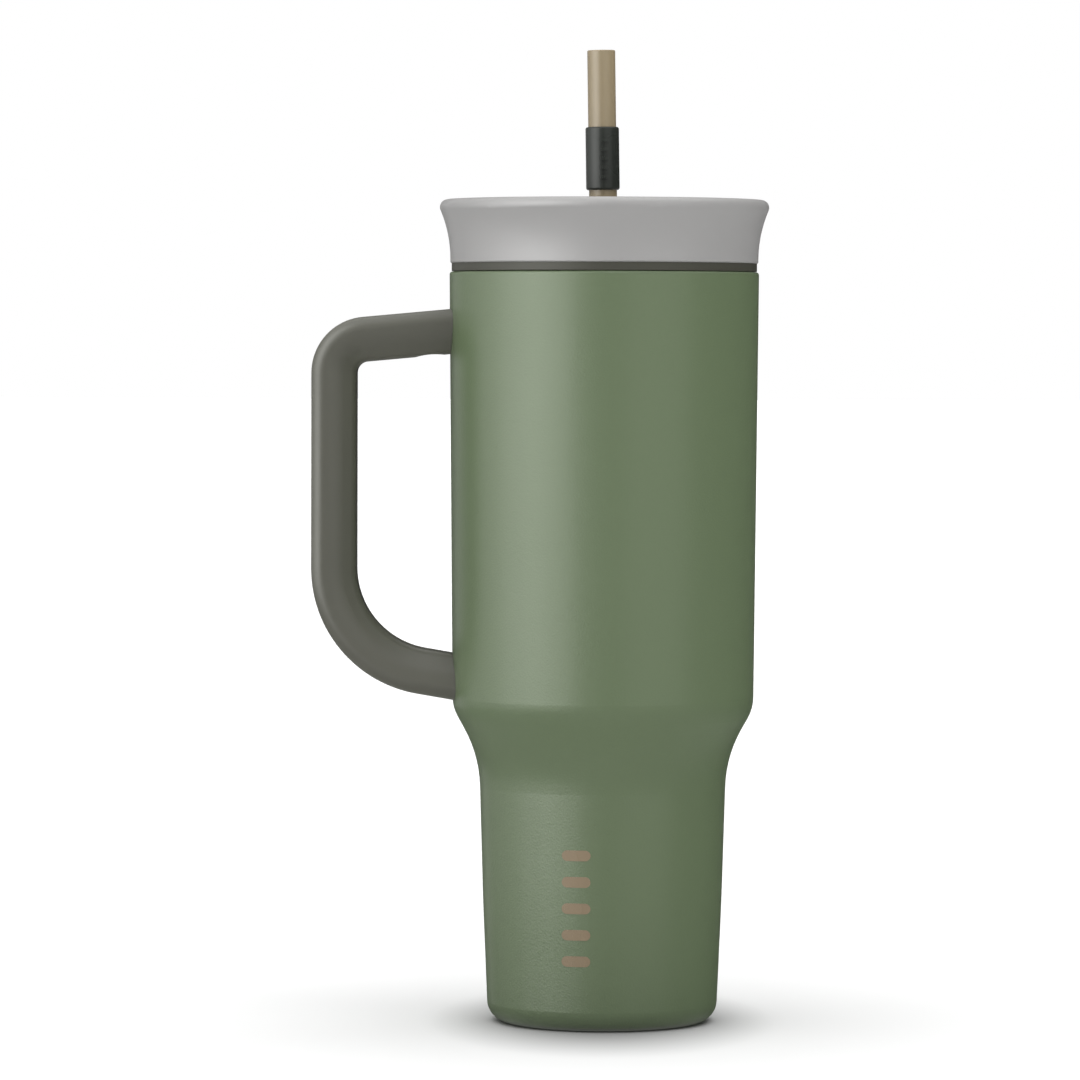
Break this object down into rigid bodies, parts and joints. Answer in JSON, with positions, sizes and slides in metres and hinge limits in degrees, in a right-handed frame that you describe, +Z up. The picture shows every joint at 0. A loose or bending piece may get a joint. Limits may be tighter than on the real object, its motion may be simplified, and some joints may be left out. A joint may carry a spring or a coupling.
{
  "type": "insulated tumbler with lid",
  "caption": "Tall vacuum-insulated steel tumbler with a stepped body for cup holders, a side handle, a flared push-in lid with a drink gate, and a straw with a soft sleeve.",
  "frame": {"origin": "where the cup's axis meets the resting surface", "axes": "+Z up the cup, -X towards the handle, -Y to the front"},
  "size_m": [0.1545, 0.1114, 0.3291],
  "materials": {
    "green_powder_coat": "fine textured powder coat",
    "liner_steel": "brushed and electropolished",
    "copper": "copper foil",
    "cap_steel": "satin",
    "seal_glass": "fused solder glass",
    "plate_steel": "satin",
    "getter_metal": "sintered",
    "bracket_steel": "plain",
    "screw_steel": "plain",
    "olive_rubber": "satin",
    "core_plastic": "moulded",
    "olive_soft_touch": "satin soft touch",
    "grey_plastic": "satin",
    "olive_plastic": "satin",
    "gasket_silicone": "satin",
    "gate_plastic": "satin",
    "tan_plastic": "satin gloss",
    "dark_rubber": "satin"
  },
  "bodies": {
    "cup": {"outer_shell": "green_powder_coat", "inner_shell": "liner_steel", "copper_foil": "copper", "base_cap": "cap_steel", "vacuum_seal_bead": "seal_glass", "base_plate": "plate_steel", "getter": "getter_metal", "upper_bracket": "bracket_steel", "lower_bracket": "bracket_steel", "upper_screw": "screw_steel", "lower_screw": "screw_steel", "upper_screw_plug": "olive_rubber", "lower_screw_plug": "olive_rubber", "handle_core": "core_plastic", "handle_skin": "olive_soft_touch"},
    "gasket": {"lid_gasket": "gasket_silicone"},
    "lid": {"lid_top": "grey_plastic", "lid_lower": "olive_plastic", "straw_grommet": "olive_rubber"},
    "gate": {"drink_gate": "gate_plastic", "gate_seal": "olive_rubber"},
    "straw": {"straw": "tan_plastic"},
    "sleeve": {"straw_sleeve": "dark_rubber"}
  },
  "joints": [
    {"name": "lid_lift", "type": "slide", "parent": "cup", "child": "gasket", "axis": [0, 0, 1], "range_m": [0, 0.25]},
    {"name": "lid_turn", "type": "hinge", "parent": "gasket", "child": "lid", "pos_m": [0, 0, 0.2635], "axis": [0, 0, 1], "continuous": true},
    {"name": "gate_slide", "type": "slide", "parent": "lid", "child": "gate", "axis": [0, 1, 0], "range_m": [0, 0.0125]},
    {"name": "straw_slide", "type": "slide", "parent": "lid", "child": "straw", "axis": [-0.0161, 0, 0.9999], "range_m": [0, 0.26]},
    {"name": "sleeve_slide", "type": "slide", "parent": "straw", "child": "sleeve", "axis": [-0.0161, 0, 0.9999], "range_m": [-0.013, 0.049]}
  ]
}
